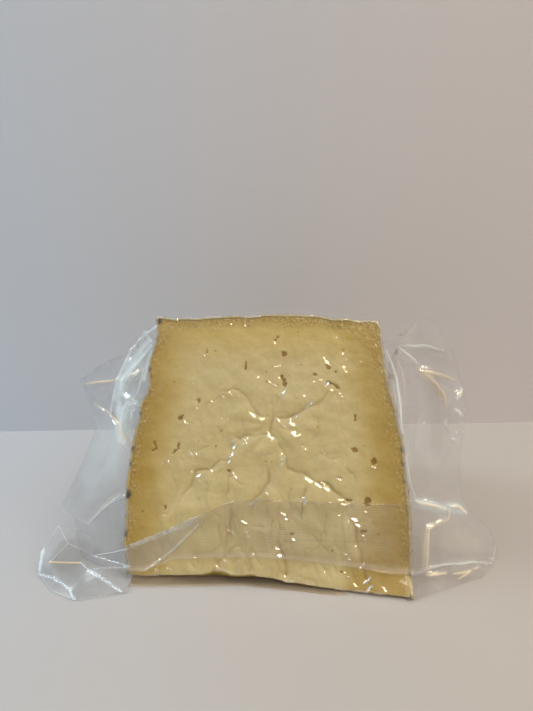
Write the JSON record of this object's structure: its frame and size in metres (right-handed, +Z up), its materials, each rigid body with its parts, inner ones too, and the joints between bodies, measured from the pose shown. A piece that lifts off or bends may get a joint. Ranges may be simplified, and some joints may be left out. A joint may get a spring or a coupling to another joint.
{
  "type": "vacuum-packed sheep's milk cheese wedge",
  "caption": "Wedge of pressed cheese lying on one cut face, sealed tight in a clear bag with crumpled side wings and a seal band folded up over its front.",
  "frame": {"origin": "middle of the cut face that the wedge lies on", "axes": "+X along the wheel's axis, to the right seen from the front; +Y back from the thin edge to the rim; +Z up"},
  "size_m": [0.161, 0.1062, 0.0824],
  "materials": {
    "film": "thin clear bag film, glossy, with sharp creases and faint ribbing in its seal band",
    "cheese_paste": "ivory yellow paste, a darker band inside the rind, small uneven eyes and a soft sheen",
    "rind": "thin natural rind, ochre to grey-brown, speckled dark"
  },
  "bodies": {
    "root": {"sealed_cheese": "film"}
  },
  "joints": []
}
